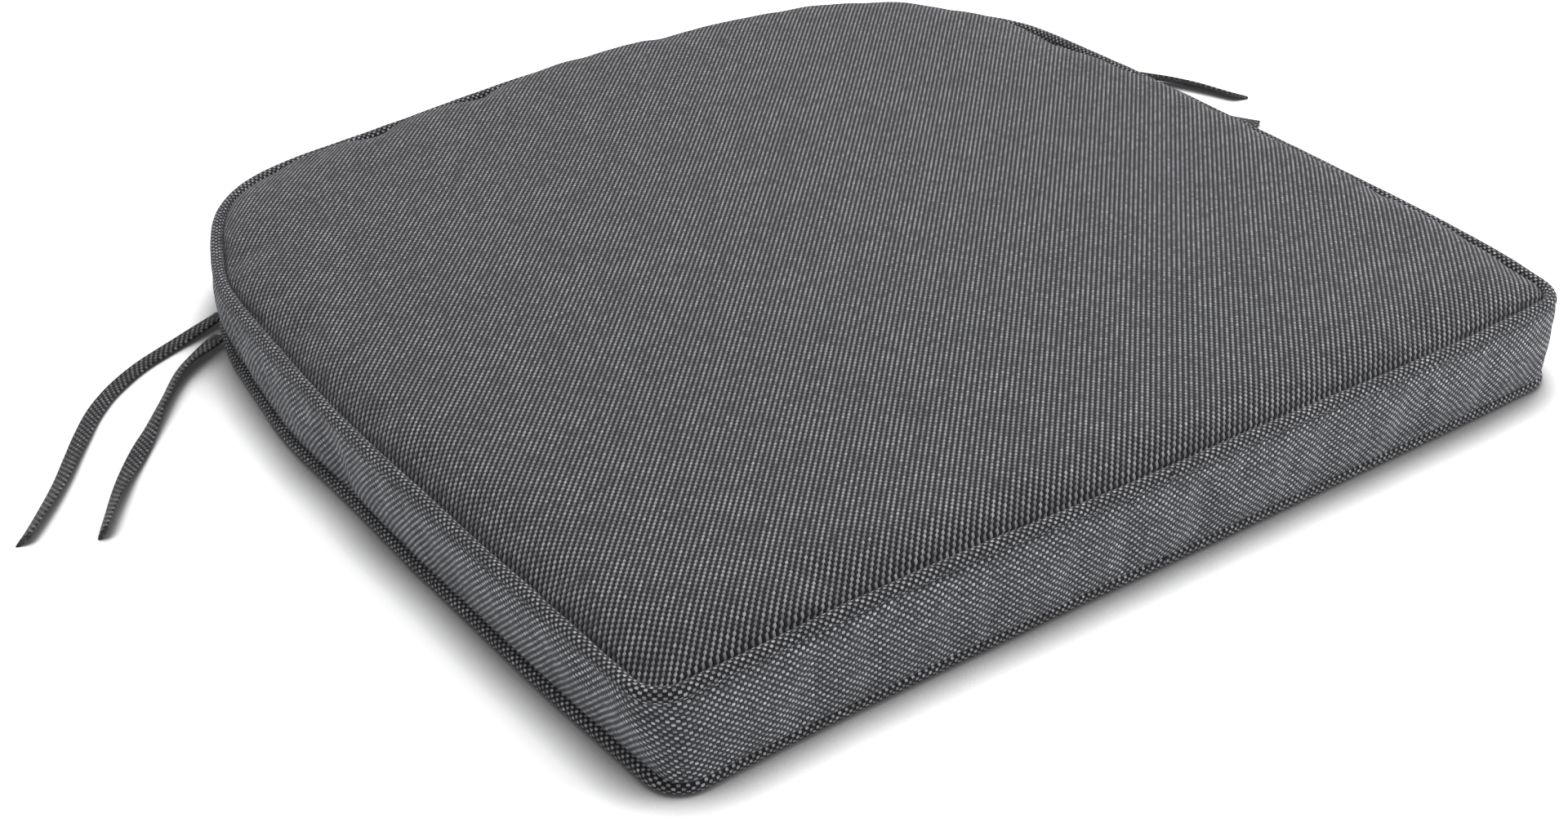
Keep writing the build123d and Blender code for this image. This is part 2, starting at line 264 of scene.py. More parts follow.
def outline_span(start, end, count):
    """count points between two distances along the outline, past the start of the loop if need be."""
    along = np.linspace(start, end, count)
    picked = np.searchsorted(DENSE_ALONG, along % PERIMETER, side="right") - 1
    return DENSE[picked], DENSE_NORMALS[picked], along


def nearest(xy):
    """Inset and dense index of the outline point nearest to each plan point."""
    insets = np.empty(len(xy))
    picked = np.empty(len(xy), int)
    for row, (x, y) in enumerate(xy):
        _, found, _ = DENSE_TREE.find((x, y, 0.0))
        picked[row] = found
        insets[row] = (DENSE[found] - (x, y)) @ DENSE_NORMALS[found]
    return insets, picked


def nearness(xy, place):
    """1 at a place that starts with its x, y and reach, fading softly away from it."""
    x, y, reach = place[:3]
    return np.exp(-((xy[:, 0] - x) ** 2 + (xy[:, 1] - y) ** 2) / reach**2)


def bumps(xy, places):
    """Sum of soft bumps at plan points: each place is x, y, reach and height."""
    return sum(place[3] * nearness(xy, place) for place in places)


def wander(xy, places):
    """How far plan points of a sewn edge are moved, as an X, Y, Z for each."""
    return sum(nearness(xy, place)[:, None] * np.array(place[3:]) for place in places)


def noise_at(x, y, z):
    return noise.noise(Vector((x, y, z)))


def ripple(along, length, seed):
    """Smooth noise round the outline, between about -1 and 1, with no jump where the loop closes."""
    radius = PERIMETER / (2 * math.pi * length)
    angles = 2 * math.pi * along / PERIMETER
    return np.array([noise_at(radius * math.cos(a), radius * math.sin(a), seed * 7.3) for a in angles])


def blend_weight(value, low, high):
    """Smooth step from 0 at low to 1 at high."""
    t = np.clip((value - low) / (high - low), 0, 1)
    return t * t * (3 - 2 * t)


# ==== mesh helpers
def add_object(name, data):
    """A new object in the scene."""
    made = bpy.data.objects.new(name, data)
    bpy.context.scene.collection.objects.link(made)
    return made


def add_mesh(name, mesh):
    """A new mesh object in the scene, smooth shaded."""
    mesh.polygons.foreach_set("use_smooth", [True] * len(mesh.polygons))
    return add_object(name, mesh)


def make_object(name, vertices, faces, uvs=None):
    """A mesh object in the scene. uvs holds one (u, v) in metres for each vertex."""
    mesh = bpy.data.meshes.new(name)
    mesh.from_pydata([tuple(map(float, v)) for v in vertices], [], [tuple(map(int, f)) for f in faces])
    mesh.validate()
    mesh.update()
    made = add_mesh(name, mesh)
    if uvs is not None:
        set_uvs(made, uvs)
    return made


def corner_vertices(obj):
    """The vertex at each face corner."""
    corners = np.empty(len(obj.data.loops), int)
    obj.data.loops.foreach_get("vertex_index", corners)
    return corners


def set_corner_uvs(obj, uvs):
    """Writes cloth coordinates, in metres, one for each face corner."""
    layer = obj.data.uv_layers.get("cloth") or obj.data.uv_layers.new(name="cloth")
    layer.data.foreach_set("uv", np.asarray(uvs, np.float32).ravel())


def set_uvs(obj, uvs):
    """Writes cloth coordinates, in metres, one for each vertex."""
    set_corner_uvs(obj, np.asarray(uvs, np.float32)[corner_vertices(obj)])


def coordinates(obj):
    co = np.empty(len(obj.data.vertices) * 3, np.float32)
    obj.data.vertices.foreach_get("co", co)
    return co.reshape(-1, 3).astype(float)


def set_coordinates(obj, co):
    obj.data.vertices.foreach_set("co", np.asarray(co, np.float32).ravel())
    obj.data.update()


def grid_faces(rows, columns, closed_columns=False, closed_rows=False):
    """Quads of a rows by columns grid of vertices, row by row."""
    faces = []
    for r in range(rows if closed_rows else rows - 1):
        for c in range(columns if closed_columns else columns - 1):
            low, high = r * columns, (r + 1) % rows * columns
            after = (c + 1) % columns
            faces.append((low + c, low + after, high + after, high + c))
    return faces


def apply_modifiers(obj):
    """Replaces the mesh with what its modifiers make of it."""
    graph = bpy.context.evaluated_depsgraph_get()
    made = bpy.data.meshes.new_from_object(obj.evaluated_get(graph), depsgraph=graph)
    obj.modifiers.clear()
    obj.data = made


def subdivide(obj, levels=1):
    modifier = obj.modifiers.new("smooth", "SUBSURF")
    modifier.levels = modifier.render_levels = levels
    modifier.uv_smooth = "PRESERVE_BOUNDARIES"
    apply_modifiers(obj)


def thicken(obj, thickness):
    """Gives a cloth surface its thickness on the inside."""
    modifier = obj.modifiers.new("thickness", "SOLIDIFY")
    modifier.thickness = thickness
    modifier.offset = -1.0
    apply_modifiers(obj)


def simulate_cloth(obj, pinned, pressure, growth, cap, frames=20):
    """Lets sewn cloth swell and pucker between its pinned seams, and moves no point by more than cap."""
    scene = bpy.context.scene
    before = coordinates(obj)
    group = obj.vertex_groups.new(name="seams")
    group.add([int(i) for i in pinned], 1.0, "REPLACE")
    modifier = obj.modifiers.new("cloth", "CLOTH")
    settings = modifier.settings
    settings.quality = 6
    settings.mass = 0.3
    settings.tension_stiffness = 20.0
    settings.compression_stiffness = 20.0
    settings.shear_stiffness = 8.0
    settings.bending_stiffness = 0.6
    settings.vertex_group_mass = "seams"
    settings.use_pressure = True
    settings.uniform_pressure_force = pressure
    settings.shrink_min = -growth
    settings.effector_weights.gravity = 0.0
    modifier.collision_settings.use_collision = False
    modifier.point_cache.frame_start = 1
    modifier.point_cache.frame_end = frames
    for number in range(1, frames + 1):
        scene.frame_set(number)
    evaluated = obj.evaluated_get(bpy.context.evaluated_depsgraph_get())
    after = np.empty(len(before) * 3, np.float32)
    evaluated.data.vertices.foreach_get("co", after)
    move = after.reshape(-1, 3) - before
    size = np.linalg.norm(move, axis=1, keepdims=True)
    print("cloth", obj.name, "moved up to", float(size.max()), "median", float(np.median(size)))
    move *= cap * np.tanh(size / cap) / np.maximum(size, 1e-9)
    obj.modifiers.remove(modifier)
    obj.vertex_groups.remove(group)
    scene.frame_set(1)
    set_coordinates(obj, before + move)


# ==== materials
class Nodes:
    """A material's node tree, with short calls for the nodes that this scene uses."""

    def __init__(self, name):
        self.material = bpy.data.materials.new(name)
        self.material.use_nodes = True
        self.tree = self.material.node_tree
        self.shader = self.tree.nodes["Principled BSDF"]

    def node(self, kind, **settings):
        made = self.tree.nodes.new(kind)
        for key, value in settings.items():
            setattr(made, key, value)
        return made

    def put(self, socket, value):
        if isinstance(value, bpy.types.NodeSocket):
            self.tree.links.new(value, socket)
        else:
            socket.default_value = value

    def math(self, operation, first, second=0.0, third=0.0):
        made = self.node("ShaderNodeMath", operation=operation)
        for socket, value in zip(made.inputs, (first, second, third)):
            self.put(socket, value)
        return made.outputs[0]

    def times(self, first, second):
        return self.math("MULTIPLY", first, second)

    def plus(self, first, second):
        return self.math("ADD", first, second)

    def combine(self, x, y, z=0.0):
        made = self.node("ShaderNodeCombineXYZ")
        for socket, value in zip(made.inputs, (x, y, z)):
            self.put(socket, value)
        return made.outputs[0]

    def noise(self, vector, scale, detail=2.0, roughness=0.5):
        made = self.node("ShaderNodeTexNoise")
        self.put(made.inputs["Vector"], vector)
        made.inputs["Scale"].default_value = scale
        made.inputs["Detail"].default_value = detail
        made.inputs["Roughness"].default_value = roughness
        return made.outputs["Fac"]

    def white(self, vector):
        made = self.node("ShaderNodeTexWhiteNoise", noise_dimensions="3D")
        self.put(made.inputs["Vector"], vector)
        return made.outputs["Value"]

    def spread(self, value, low, high, to_low=0.0, to_high=1.0, smooth=False):
        made = self.node("ShaderNodeMapRange")
        made.interpolation_type = "SMOOTHSTEP" if smooth else "LINEAR"
        names = ("Value", "From Min", "From Max", "To Min", "To Max")
        for name, amount in zip(names, (value, low, high, to_low, to_high)):
            self.put(made.inputs[name], amount)
        return made.outputs["Result"]

    def mix(self, factor, first, second):
        made = self.node("ShaderNodeMix", data_type="RGBA")
        self.put(made.inputs["Factor"], factor)
        for socket, colour in zip((made.inputs[6], made.inputs[7]), (first, second)):
            self.put(socket, colour if isinstance(colour, bpy.types.NodeSocket) else (*colour, 1.0))
        return made.outputs[2]

    def scale_colour(self, colour, factor):
        made = self.node("ShaderNodeVectorMath", operation="SCALE")
        self.put(made.inputs[0], colour)
        self.put(made.inputs["Scale"], factor)
        return made.outputs[0]

    def surface(self, **inputs):
        """Sets inputs of the shader, each named with underscores in place of its spaces."""
        for name, value in inputs.items():
            self.put(self.shader.inputs[name.replace("_", " ")], value)

    def bump(self, height, distance, strength=1.0):
        made = self.node("ShaderNodeBump")
        made.inputs["Strength"].default_value = strength
        made.inputs["Distance"].default_value = distance
        self.put(made.inputs["Height"], height)
        self.surface(Normal=made.outputs["Normal"])

    def cloth_uv(self):
        made = self.node("ShaderNodeUVMap", uv_map="cloth")
        split = self.node("ShaderNodeSeparateXYZ")
        self.put(split.inputs[0], made.outputs[0])
        return split.outputs["X"], split.outputs["Y"]

    def object_vector(self):
        return self.node("ShaderNodeTexCoord").outputs["Object"]


PANAMA_LIGHT = (0.238, 0.240, 0.260)
PANAMA_DARK = (0.0030, 0.0030, 0.0042)


def weave_material(
    name, pitch, light=PANAMA_LIGHT, dark=PANAMA_DARK, slant=0.0, far_slant=None, gain=1.0, bump=0.00030
):
    """Melange panama cloth: light weft over dark warp at every other crossing, each yarn a little different,
    darkened by painted shade in the grooves between the raised floats.

    slant pulls the floats askew; far_slant, where it is given, is the slant beyond the front left corner."""
    made = Nodes(name)
    u, v = made.cloth_uv()
    if far_slant is not None:
        corner = PERIMETER - HALF_WIDTH
        slant = made.spread(u, corner - 0.012, corner + 0.004, far_slant, slant)
    wobble = made.noise(made.combine(u, v), 90.0, 2.0)
    wobble_shift = made.times(made.math("SUBTRACT", wobble, 0.5), 0.9)
    a = made.plus(made.math("DIVIDE", u, pitch[0]), wobble_shift)
    b = made.plus(made.math("DIVIDE", v, pitch[1]), wobble_shift)
    wave_a = made.math("SINE", made.times(a, math.pi))
    wave_b = made.math("SINE", made.times(b, math.pi))
    wide_a = made.math("MINIMUM", made.math("MAXIMUM", made.times(wave_a, 1.5), -1.0), 1.0)
    diagonal = made.math("COSINE", made.times(made.math("SUBTRACT", a, b), math.pi))
    crossing = made.math("MULTIPLY_ADD", wide_a, wave_b, made.times(diagonal, slant))
    float_height = made.math("POWER", made.math("ABSOLUTE", crossing), 0.6)
    row = made.math("FLOOR", b)
    column = made.math("FLOOR", a)
    row_tone = made.noise(made.combine(made.times(a, 0.09), made.times(row, 3.7), 1.0), 1.0, 1.0)
    column_tone = made.noise(made.combine(made.times(column, 2.9), made.times(b, 0.09), 5.0), 1.0, 1.0)
    dot_tone = made.white(made.combine(column, row, 3.0))
    cloud = made.noise(made.combine(u, v, 2.0), 45.0, 3.0)
    fibre = made.noise(made.combine(made.times(a, 2.0), made.times(b, 5.0), 4.0), 1.0, 2.0, 0.7)
    tone = made.spread(row_tone, 0.25, 0.75, 0.76, 1.24)
    for share in (
        made.spread(column_tone, 0.25, 0.75, 0.88, 1.12),
        made.spread(dot_tone, 0.0, 1.0, 0.62, 1.38),
        made.spread(cloud, 0.3, 0.7, 0.94, 1.06),
        made.spread(fibre, 0.2, 0.8, 0.70, 1.30),
        gain,
    ):
        tone = made.times(tone, share)
    lit = made.spread(crossing, 0.06, 0.66, 0.0, 1.0, smooth=True)
    # Painted shade: the colour darkens where the floats dip between crossings, standing in for shade in the
    # grooves between yarns.
    shade = made.spread(float_height, 0.0, 0.9, 0.45, 1.0)
    colour = made.scale_colour(made.mix(lit, dark, light), made.times(tone, shade))
    made.surface(
        Base_Color=colour, Roughness=0.92, Specular_IOR_Level=0.18, Sheen_Weight=0.12, Sheen_Roughness=0.6
    )
    height = made.plus(float_height, made.times(fibre, 0.5))
    made.bump(height, bump, 0.8)
    return made.material


def cord_material(name):
    """Twisted white filler cord."""
    made = Nodes(name)
    u, v = made.cloth_uv()
    twist = made.math("SINE", made.times(made.plus(u, v), 2 * math.pi / 0.0016))
    tone = made.spread(made.noise(made.combine(u, v), 900.0, 3.0), 0.3, 0.7, 0.8, 1.0)
    colour = made.mix(made.spread(twist, -1.0, 1.0), (0.45, 0.44, 0.40), (0.78, 0.77, 0.73))
    made.surface(Base_Color=made.scale_colour(colour, tone), Roughness=0.85)
    made.bump(twist, 0.0003)
    return made.material


def foam_material(name):
    """Open-cell foam with a slightly yellowed, pitted face."""
    made = Nodes(name)
    place = made.object_vector()
    cells = made.node("ShaderNodeTexVoronoi")
    made.put(cells.inputs["Vector"], place)
    cells.inputs["Scale"].default_value = 900.0
    patch = made.noise(place, 12.0, 3.0)
    made.surface(Base_Color=made.mix(patch, (0.86, 0.84, 0.72), (0.80, 0.76, 0.58)), Roughness=0.95)
    made.bump(cells.outputs["Distance"], 0.0006)
    return made.material


def wadding_material(name):
    """Fluffy white polyester fibre."""
    made = Nodes(name)
    place = made.object_vector()
    strands = made.noise(place, 420.0, 6.0, 0.75)
    clumps = made.noise(place, 30.0, 3.0)
    colour = made.mix(strands, (0.72, 0.72, 0.71), (0.93, 0.93, 0.92))
    shade = made.spread(clumps, 0.3, 0.7, 0.9, 1.0)
    made.surface(Base_Color=made.scale_colour(colour, shade), Roughness=1.0, Sheen_Weight=0.4)
    made.bump(strands, 0.0012)
    return made.material


def tape_material(name):
    """Woven zip tape: a fine herringbone in near black."""
    made = Nodes(name)
    split = made.node("ShaderNodeSeparateXYZ")
    made.put(split.inputs[0], made.object_vector())
    along, up = split.outputs["X"], split.outputs["Z"]
    fold = made.math("PINGPONG", up, 0.0012)
    rib = made.math("SINE", made.times(made.plus(along, fold), 2 * math.pi / 0.0007))
    tone = made.noise(made.object_vector(), 700.0, 2.0)
    colour = made.mix(made.spread(rib, -1.0, 1.0), (0.018, 0.018, 0.020), (0.075, 0.075, 0.082))
    made.surface(Base_Color=made.scale_colour(colour, made.spread(tone, 0.3, 0.7, 0.8, 1.2)), Roughness=0.8)
    made.bump(rib, 0.00015)
    return made.material


def coil_material(name):
    """Satin black nylon, slightly scuffed where the slider runs."""
    made = Nodes(name)
    scuff = made.noise(made.object_vector(), 600.0, 4.0)
    colour = made.mix(scuff, (0.020, 0.020, 0.022), (0.060, 0.060, 0.065))
    made.surface(Base_Color=colour, Roughness=made.spread(scuff, 0.3, 0.7, 0.28, 0.5))
    made.bump(scuff, 0.00004)
    return made.material


def metal_material(name):
    """Dark enamelled zinc, worn a little lighter in patches."""
    made = Nodes(name)
    place = made.object_vector()
    wear = made.noise(place, 350.0, 4.0, 0.6)
    grain = made.noise(place, 3000.0, 2.0)
    worn = made.spread(wear, 0.55, 0.75, 0.0, 1.0, smooth=True)
    colour = made.mix(worn, (0.040, 0.040, 0.045), (0.22, 0.22, 0.23))
    made.surface(Base_Color=colour, Metallic=0.85, Roughness=made.spread(wear, 0.3, 0.7, 0.30, 0.48))
    made.bump(grain, 0.00002)
    return made.material


def thread_material(name):
    """Twisted polyester sewing thread."""
    made = Nodes(name)
    u, v = made.cloth_uv()
    twist = made.math("SINE", made.times(made.plus(u, v), 2 * math.pi / 0.0005))
    colour = made.mix(made.spread(twist, -1.0, 1.0), (0.03, 0.03, 0.035), (0.13, 0.13, 0.14))
    made.surface(Base_Color=colour, Roughness=0.6)
    made.bump(twist, 0.00005)
    return made.material


def floor_material(name):
    """Pale matt studio floor with a barely visible grain, with painted shade darkening it next to an object
    standing on it, and a faint painted glow of its own.
    """
    made = Nodes(name)
    grain = made.noise(made.object_vector(), 40.0, 3.0)
    # Painted contact shadow: ambient occlusion darkens the floor's colour next to the pad.
    contact_shade_ao = made.node("ShaderNodeAmbientOcclusion", samples=8)
    contact_shade_ao.inputs["Distance"].default_value = 0.026
    painted_shade_share = made.spread(contact_shade_ao.outputs["AO"], 0.48, 0.88, 0.20, 1.0)
    colour = made.scale_colour(made.mix(grain, (0.90, 0.90, 0.90), (0.92, 0.92, 0.92)), painted_shade_share)
    made.surface(Base_Color=colour, Roughness=0.9, Specular_IOR_Level=0.1)
    # Painted light: the floor glows faintly with its own colour, which is darker next to the pad, so it is
    # brighter than the lamps alone make it.
    made.surface(Emission_Color=colour, Emission_Strength=0.14)
    return made.material


def set_material(obj, material):
    obj.data.materials.clear()
    obj.data.materials.append(material)


def dress(obj, material, slot, *nodes):
    """Gives a new piece its material, lets it ride on the pad and stand for its CAD nodes; slot is not used.
    """
    set_material(obj, material)
    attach(obj, BODY)
    if nodes:
        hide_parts(*nodes)
    return obj


# ==== camera
def make_camera():
    azimuth, elevation = math.radians(CAMERA_AZIMUTH), math.radians(CAMERA_ELEVATION)
    back = Vector((
        math.sin(azimuth) * math.cos(elevation),
        -math.cos(azimuth) * math.cos(elevation),
        math.sin(elevation),
    ))
    data = bpy.data.cameras.new("camera")
    data.sensor_width = SENSOR
    data.lens = FOCAL_PIXELS / FRAME_PIXELS * SENSOR
    data.clip_start = 0.01
    data.clip_end = 20.0
    camera = add_object("camera", data)
    camera.location = CAMERA_TARGET + back * CAMERA_DISTANCE
    camera.rotation_mode = "QUATERNION"
    level = (-back).to_track_quat("-Z", "Y")
    roll = type(level)((0, 0, 1), math.radians(CAMERA_ROLL))
    camera.rotation_quaternion = level @ roll
    bpy.context.scene.camera = camera


# ==== ties
def spline_points(name, points):
    """Points along a smooth spline with the route's points as its control points."""
    curve = bpy.data.curves.new(name, "CURVE")
    curve.dimensions = "3D"
    spline = curve.splines.new("NURBS")
    spline.points.add(len(points) - 1)
    for target, point in zip(spline.points, points):
        target.co = (*point, 1.0)
    spline.order_u = 3
    spline.use_endpoint_u = True
    spline.resolution_u = CORD_RESOLUTION
    line = add_object(name, curve)
    graph = bpy.context.evaluated_depsgraph_get()
    mesh = bpy.data.meshes.new_from_object(line.evaluated_get(graph), depsgraph=graph)
    bpy.data.objects.remove(line)
    return np.array([v.co for v in mesh.vertices], float)


def make_tie(name, shape, material):
    """A folded cloth tape along its spline, twisting as it goes, with a cut end."""
    path = spline_points(name + "_line", shape["points"])
    steps = np.linalg.norm(np.diff(path, axis=0), axis=1)
    along = np.concatenate([[0.0], np.cumsum(steps)])
    length = along[-1]
    tangent = np.gradient(path, along, axis=0)
    tangent /= np.linalg.norm(tangent, axis=1, keepdims=True)
    side = np.cross([0.0, 0.0, 1.0], tangent)
    side /= np.linalg.norm(side, axis=1, keepdims=True)
    up = np.cross(tangent, side)
    stations, angles = zip(*shape["twist"])
    twist = np.radians(np.interp(along / length, stations, angles))
    kernel = np.hanning(31)
    twist = np.convolve(np.pad(twist, 15, mode="edge"), kernel / kernel.sum(), mode="valid")
    across = side * np.cos(twist)[:, None] + up * np.sin(twist)[:, None]
    face = np.cross(tangent, across)
    ring = 2 * np.pi * np.arange(TIE_RING) / TIE_RING
    ring_x = np.sign(np.cos(ring)) * np.abs(np.cos(ring)) ** 0.35
    ring_y = np.sign(np.sin(ring)) * np.abs(np.sin(ring)) ** 0.8
    rows = [0] + list(range(len(path)))
    middle = np.concatenate([[path[0] - tangent[0] * TIE_TUCK], path])
    vertices, uvs = [], []
    for point, row in zip(middle, rows):
        half = TIE_WIDTH / 2 * (1 + 0.05 * noise_at(along[row] * 60, len(name), 0.0))
        slack = 0.25 * noise_at(along[row] * 45, 3.0, len(name))
        for x, y in zip(ring_x, ring_y):
            lean = shape["cut"] * half * x * blend_weight(along[row], length - TIE_TIP, length)
            cup = slack * TIE_THICKNESS * (1 - x * x)
            place = point + across[row] * half * x + face[row] * (TIE_THICKNESS / 2 * y + cup)
            place = place + tangent[row] * lean
            place[2] = max(place[2], FLOOR_CLEARANCE)
            vertices.append(place)
            uvs.append((along[row] + lean, half * x + (0.02 if y < 0 else 0.0)))
    faces = grid_faces(len(rows), TIE_RING, closed_columns=True)
    ends = [list(range(TIE_RING))[::-1], [(len(rows) - 1) * TIE_RING + i for i in range(TIE_RING)]]
    tie = make_object(name + "_tape", vertices, faces + ends, uvs)
    dress(tie, material, "tie_cloth", name)


# ==== piping
# Height, wander and seed of the ripples
PIPING_LEVELS = {
    "top": (TOP_PIPING_Z, TOP_WANDER, 1),
    "bottom": (BOTTOM_PIPING_Z, BOTTOM_WANDER, 2),
}
PIPING_RIPPLE = 0.00030
FILLER_SHARE = 0.6


def make_piping(level, part, node_part, radius, material, slot, rough=0.0):
    """A tube round the outline that wanders a little, as sewn piping does; rough makes its size vary."""
    z, places, seed = PIPING_LEVELS[level]
    xy, normals, along = outline(ROUND_COUNT)
    move = wander(xy, places)
    line = xy + move[:, :2] + normals * (PIPING_RIPPLE * ripple(along, 0.035, seed))[:, None]
    height = z + move[:, 2] + PIPING_RIPPLE * ripple(along, 0.05, seed + 3)
    size = radius * (1 + rough * ripple(along, 0.012, seed + 5))
    count, girth = 18, 2 * math.pi * radius
    ring = 2 * math.pi * np.arange(count) / count
    vertices = []
    for row in range(ROUND_COUNT):
        for angle in ring:
            out, up = math.cos(angle) * size[row], math.sin(angle) * size[row]
            x, y = line[row] + normals[row] * out
            vertices.append((x, y, max(height[row] + up, 0.00005)))
    faces = grid_faces(ROUND_COUNT, count, closed_columns=True, closed_rows=True)
    piping = make_object(f"pad_{level}_{part}", vertices, faces)
    rows, steps = np.divmod(corner_vertices(piping).reshape(-1, 4), count)
    last_row = np.ptp(rows, axis=1, keepdims=True) > 1
    last_step = np.ptp(steps, axis=1, keepdims=True) > 1
    u = np.where(last_row & (rows == 0), PERIMETER, along[rows])
    v = np.where(last_step & (steps == 0), girth, steps * (girth / count))
    set_corner_uvs(piping, np.stack([u, v], axis=-1))
    dress(piping, material, slot, f"{level}_piping_{node_part}")


# ==== panels
def panel_plan():
    """A flat mesh of the panel: a square grid inside a few loops that follow the seam."""
    points, edges = [], []
    for inset in PANEL_LOOPS:
        xy, normals, _ = outline(PANEL_LOOP_COUNT)
        first = len(points)
        points.extend((xy - normals * inset).tolist())
        edges.extend((first + i, first + (i + 1) % PANEL_LOOP_COUNT) for i in range(PANEL_LOOP_COUNT))
    clear = PANEL_LOOPS[-1] + 0.6 * PANEL_GRID
    count = int(HALF_WIDTH / PANEL_GRID) + 1
    grid = np.array([
        (i * PANEL_GRID, j * PANEL_GRID) for j in range(-count, count + 1) for i in range(-count, count + 1)
    ])
    inside, _ = nearest(grid)
    points.extend(grid[inside > clear].tolist())
    made = geometry.delaunay_2d_cdt([Vector(p) for p in points], edges, [], 0, 1e-6)
    vertices = np.array([tuple(v) for v in made[0]])
    return vertices, [tuple(f) for f in made[2]]


def join_into_quads(obj):
    mesh = bmesh.new()
    mesh.from_mesh(obj.data)
    flat, square = math.radians(30), math.radians(40)
    bmesh.ops.join_triangles(
        mesh, faces=mesh.faces, angle_face_threshold=flat, angle_shape_threshold=square
    )
    mesh.to_mesh(obj.data)
    mesh.free()


PANEL_XY, PANEL_FACES = panel_plan()
PANEL_INSET, PANEL_NEAREST = nearest(PANEL_XY)
PANEL_ON_SEAM = np.nonzero(PANEL_INSET < SEAM_INSET + 0.0002)[0]


def edge_distance(x, y):
    """Distance along the outline of its point nearest to x, y."""
    return DENSE_ALONG[DENSE_TREE.find((x, y, 0.0))[1]]


def steep_share(along):
    """1 along the stretches where the foam pushes the panel up hard against the piping."""
    total = np.zeros(len(along))
    for start, end in STEEP_SPANS:
        first, last = edge_distance(*start), edge_distance(*end)
        rise = blend_weight(along, first - STEEP_FADE, first + STEEP_FADE)
        total += rise * (1 - blend_weight(along, last - STEEP_FADE, last + STEEP_FADE))
    return np.clip(total, 0, 1)


def panel_shift(places):
    """How far the panel's vertices move with the sewn edge near them, as X, Y, Z."""
    hold = np.exp(-np.maximum(PANEL_INSET, 0) / 0.035)
    return wander(DENSE[PANEL_NEAREST], places) * hold[:, None]


PUCKERS = [
    (-0.114, 0.2215, 0.013, -0.0052),
    (-0.054, 0.2285, 0.012, -0.0046),
    (-0.170, 0.2060, 0.016, -0.0020),
    (0.226, 0.1080, 0.030, -0.0036),
    (-0.226, 0.1400, 0.022, -0.0014),
    (-0.228, -0.2260, 0.014, -0.0062),
    (-0.212, -0.2200, 0.020, -0.0016),
    (0.224, -0.2240, 0.018, -0.0022),
]


def panel_uvs(obj, level):
    """Plan coordinates, let out where the cloth falls steeply to its seam, so the weave isn't stretched."""
    co = coordinates(obj)
    inset, picked = nearest(co[:, :2])
    fall = np.abs(level - co[:, 2]) * np.exp(-((np.maximum(inset, 0) / FALL_WIDTH) ** 2))
    fall *= steep_share(DENSE_ALONG[picked])
    return co[:, :2] + DENSE_NORMALS[picked] * (0.8 * fall)[:, None]


def gather_share(depth):
    """Where the cloth gathers: most just inside the seam."""
    return np.exp(-(((depth - GATHER_DEPTH) / GATHER_WIDTH) ** 2))


def make_top_panel(material):
    """The crowned top panel, swelling between its seams, with small puckers along them."""
    edge = DENSE[PANEL_NEAREST]
    along = DENSE_ALONG[PANEL_NEAREST]
    depth = np.maximum(PANEL_INSET - SEAM_INSET, 0)
    steep = steep_share(along)
    reach = SWELL_REACH * (1 - steep) + STEEP_SWELL_REACH * steep
    reach = reach * (1 + 0.22 * ripple(along, 0.05, 11))
    shift = panel_shift(TOP_WANDER)
    seam_z = TOP_PIPING_Z - SEAM_DEPTH + wander(edge, TOP_WANDER)[:, 2]
    u, v = PANEL_XY[:, 0] / HALF_WIDTH, PANEL_XY[:, 1] / HALF_DEPTH
    crown = PAD_TOP - CROWN * (u**2 + v**2 - u**2 * v**2)
    hug = HUG_SHARE + STEEP_HUG_SHARE * steep
    share = hug * (1 - np.exp(-depth / HUG_REACH)) + (1 - hug) * (1 - np.exp(-depth / reach))
    z = seam_z + (crown - seam_z) * share
    gather = 0.00042 * ripple(along, 0.011, 17) + 0.00055 * ripple(along, 0.028, 19)
    z = z + bumps(PANEL_XY, PUCKERS) * share + gather * gather_share(depth) * share
    swell = np.array([noise_at(x * 11, y * 11, 4.0) for x, y in PANEL_XY])
    z = z + 0.0007 * swell * share
    panel = make_object("pad_top_panel", np.column_stack([PANEL_XY + shift[:, :2], z]), PANEL_FACES)
    join_into_quads(panel)
    simulate_cloth(panel, PANEL_ON_SEAM, pressure=0.5, growth=0.006, cap=0.0022)
    subdivide(panel)
    set_uvs(panel, panel_uvs(panel, PAD_TOP - CROWN))
    thicken(panel, CLOTH_THICKNESS)
    dress(panel, material, "cover_cloth", "top_panel")


def make_bottom_panel(material):
    """The underside: flat where it rests, rounding up to the seam, with shallow puckers near it."""
    along = DENSE_ALONG[PANEL_NEAREST]
    depth = np.maximum(PANEL_INSET - SEAM_INSET, 0)
    rest = 2 * FLOOR_CLEARANCE
    seam_z = BOTTOM_PIPING_Z + SEAM_DEPTH
    reach = 0.0045 * (1 + 0.25 * ripple(along, 0.045, 23))
    z = rest + (seam_z - rest) * np.exp(-depth / reach)
    z = np.maximum(z + 0.00035 * ripple(along, 0.012, 29) * gather_share(depth), FLOOR_CLEARANCE)
    xy = PANEL_XY + panel_shift(BOTTOM_WANDER)[:, :2]
    panel = make_object("pad_bottom_panel", np.column_stack([xy, z]), [f[::-1] for f in PANEL_FACES])
    join_into_quads(panel)
    simulate_cloth(panel, PANEL_ON_SEAM, pressure=0.2, growth=0.005, cap=0.0010)
    co = coordinates(panel)
    co[:, 2] = np.maximum(co[:, 2], FLOOR_CLEARANCE)
    set_coordinates(panel, co)
    subdivide(panel)
    set_uvs(panel, coordinates(panel)[:, :2])
    thicken(panel, CLOTH_THICKNESS)
    dress(panel, material, "cover_cloth", "bottom_panel")


